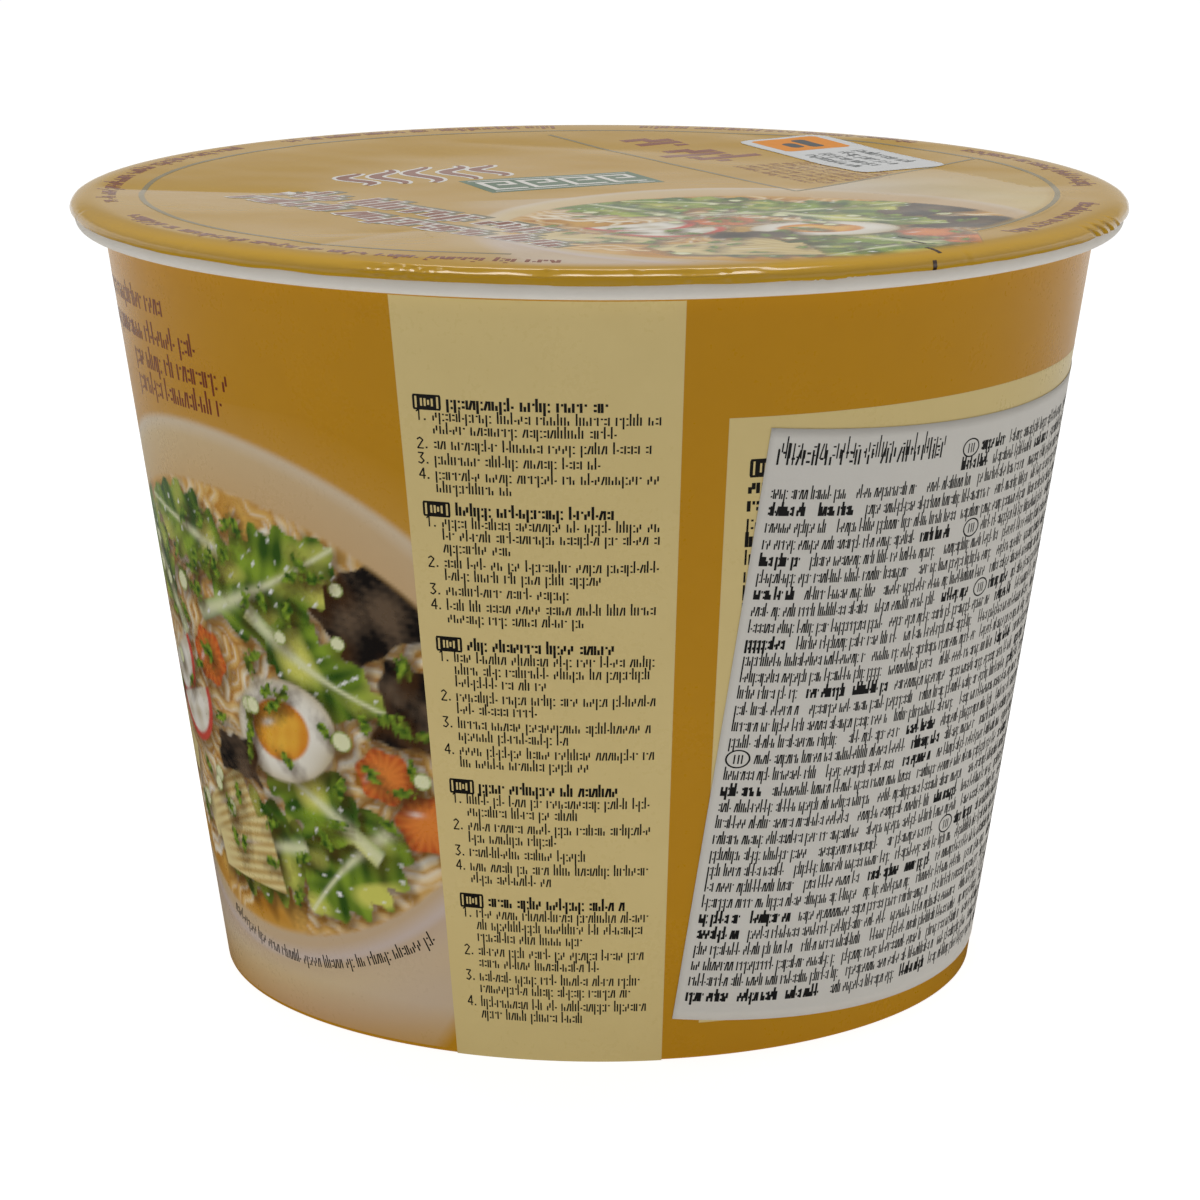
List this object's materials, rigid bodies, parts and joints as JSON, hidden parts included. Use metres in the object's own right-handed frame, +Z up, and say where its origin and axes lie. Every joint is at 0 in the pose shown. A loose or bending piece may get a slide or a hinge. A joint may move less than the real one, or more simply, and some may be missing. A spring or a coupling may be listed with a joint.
{
  "type": "instant noodle bowl",
  "caption": "Shut paper bucket bowl of instant noodles with a rolled white rim, a peel lid folded over it and a paper label on its wall.",
  "frame": {"origin": "middle of the foot, on the surface that the bowl stands on", "axes": "+Z up along the bowl's axis; the printed instruction panel faces -Y"},
  "size_m": [0.1504, 0.1504, 0.1129],
  "materials": {
    "printed_board": "printed, satin varnish",
    "base_board": "uncoated white board",
    "lid_laminate": "printed film laminate, glossy",
    "label_paper": "matt label paper",
    "sticker_paper": "semi-gloss label paper"
  },
  "bodies": {
    "root": {"paper_bowl": "printed_board", "base_disc": "base_board", "peel_lid": "lid_laminate", "side_label": "label_paper", "lid_sticker": "sticker_paper"}
  },
  "joints": []
}
